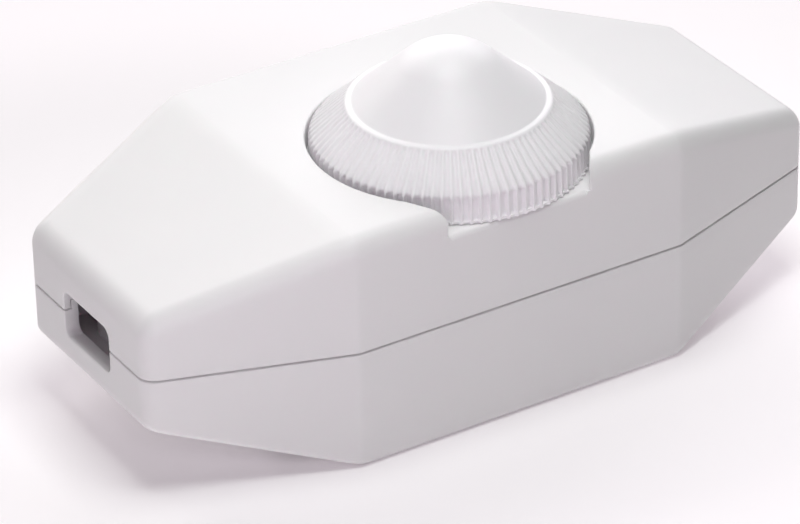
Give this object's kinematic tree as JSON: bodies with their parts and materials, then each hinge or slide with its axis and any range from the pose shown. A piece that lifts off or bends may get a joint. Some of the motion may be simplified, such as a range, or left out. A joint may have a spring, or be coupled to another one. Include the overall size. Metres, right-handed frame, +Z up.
{
  "type": "in-line rotary cord dimmer",
  "caption": "In-line rotary lamp dimmer: tapered white case with a ribbed conical dial set in a round pocket and a cord opening at each end.",
  "frame": {"origin": "middle of the case, on the plane of its flat underside", "axes": "+Z up out of the roof that carries the dial, +X along the case from one cord opening to the other, -Y towards the side that the dial breaks through"},
  "size_m": [0.1, 0.0483, 0.0455],
  "materials": {
    "case_plastic": "fine satin moulding",
    "dial_plastic": "smooth satin moulding",
    "phenolic": "moulded",
    "nylon": "moulded",
    "board_laminate": "pressed laminate",
    "capacitor_plastic": "moulded",
    "resistor_lacquer": "dipped lacquer",
    "plated_steel": "zinc plated",
    "brass": "turned and stamped",
    "enamelled_copper": "lacquered wire",
    "ferrite": "sintered",
    "aluminium": "mill sheet",
    "clear_glass": "drawn tube"
  },
  "bodies": {
    "case": {"lower_shell": "case_plastic", "upper_shell": "case_plastic", "pot_case": "plated_steel", "pot_track_wafer": "phenolic", "pot_bushing": "brass", "pot_washer": "plated_steel", "pot_nut": "brass", "pot_terminal_1": "brass", "pot_terminal_2": "brass", "pot_terminal_3": "brass", "switch_case": "phenolic", "switch_terminal_1": "brass", "switch_terminal_2": "brass", "circuit_board": "board_laminate", "choke_core": "ferrite", "choke_winding": "enamelled_copper", "suppression_capacitor": "capacitor_plastic", "timing_capacitor": "resistor_lacquer", "resistor_1": "resistor_lacquer", "resistor_2": "resistor_lacquer", "diac": "clear_glass", "fuse_tube": "clear_glass", "fuse_cap_1": "plated_steel", "fuse_cap_2": "plated_steel", "fuse_clip_1": "plated_steel", "fuse_clip_2": "plated_steel", "triac": "phenolic", "heat_sink": "aluminium", "heat_sink_screw": "plated_steel", "terminal_block_left": "nylon", "terminal_block_right": "nylon", "terminal_screw_1": "plated_steel", "terminal_screw_2": "plated_steel", "terminal_screw_3": "plated_steel", "terminal_screw_4": "plated_steel", "neutral_link": "brass", "cord_clamp_left": "case_plastic", "cord_clamp_right": "case_plastic", "clamp_screw_1": "plated_steel", "clamp_screw_2": "plated_steel", "clamp_screw_3": "plated_steel", "clamp_screw_4": "plated_steel", "housing_screw_1": "plated_steel", "housing_screw_2": "plated_steel", "housing_screw_3": "plated_steel", "housing_screw_4": "plated_steel", "board_screw_1": "plated_steel", "board_screw_2": "plated_steel"},
    "dial": {"dial_knob": "dial_plastic", "pot_shaft": "plated_steel", "pot_wiper": "brass"}
  },
  "joints": [
    {"name": "dial_turn", "type": "hinge", "parent": "case", "child": "dial", "pos_m": [0.0003, -0.0062, 0.02955], "axis": [0, 0, -1], "range_deg": [0, 300]}
  ]
}
